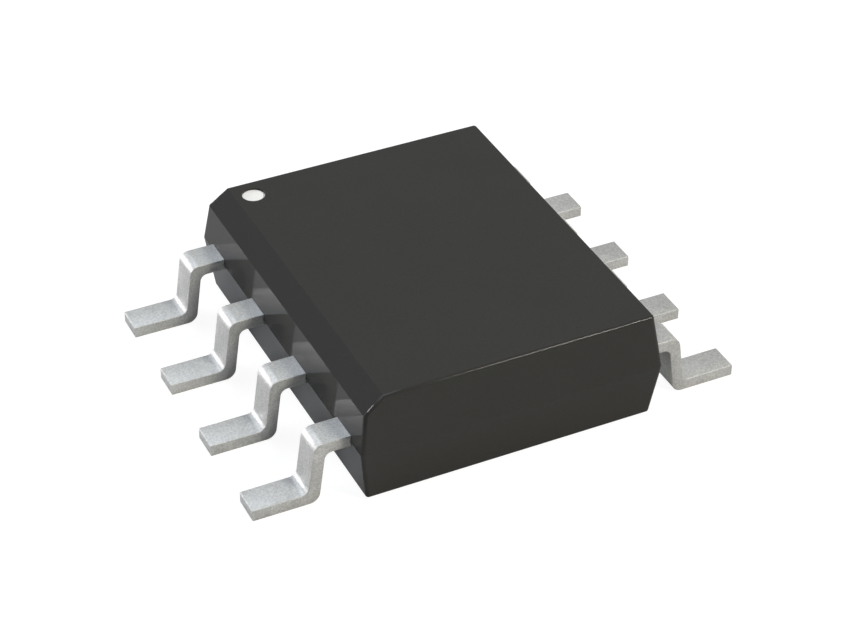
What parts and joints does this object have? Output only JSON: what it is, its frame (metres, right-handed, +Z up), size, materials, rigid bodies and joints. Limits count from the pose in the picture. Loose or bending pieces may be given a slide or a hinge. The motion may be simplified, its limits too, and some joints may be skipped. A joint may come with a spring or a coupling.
{
  "type": "soic chip",
  "caption": "Black moulded chip package with a bevelled side, an ink dot and bent gull-wing leads in a row along each long side.",
  "frame": {"origin": "centre of the package on the seating plane, under the feet", "axes": "+X across the package towards leads 5 to 8, +Y along the rows towards leads 1 and 8, +Z up out of the top face"},
  "size_m": [0.0062, 0.0048, 0.0014],
  "materials": {
    "mould_compound": "matt black epoxy mould compound with a faint satin gloss",
    "tin_plated_copper": "matt tin plate over copper, fine grain",
    "bare_copper": "bare copper alloy sheet",
    "die_adhesive": "silver-filled epoxy, dull grey",
    "silicon": "polished silicon, dark grey with a blue cast",
    "gold": "drawn gold wire",
    "white_ink": "matt white marking ink"
  },
  "bodies": {
    "root": {"package_body": "mould_compound", "pin_one_dot": "white_ink", "die_paddle": "bare_copper", "die_attach": "die_adhesive", "silicon_die": "silicon", "lead_1": "tin_plated_copper", "lead_2": "tin_plated_copper", "lead_3": "tin_plated_copper", "lead_4": "tin_plated_copper", "lead_5": "tin_plated_copper", "lead_6": "tin_plated_copper", "lead_7": "tin_plated_copper", "lead_8": "tin_plated_copper", "bond_wire_1": "gold", "bond_wire_2": "gold", "bond_wire_3": "gold", "bond_wire_4": "gold", "bond_wire_5": "gold", "bond_wire_6": "gold", "bond_wire_7": "gold", "bond_wire_8": "gold"}
  },
  "joints": []
}
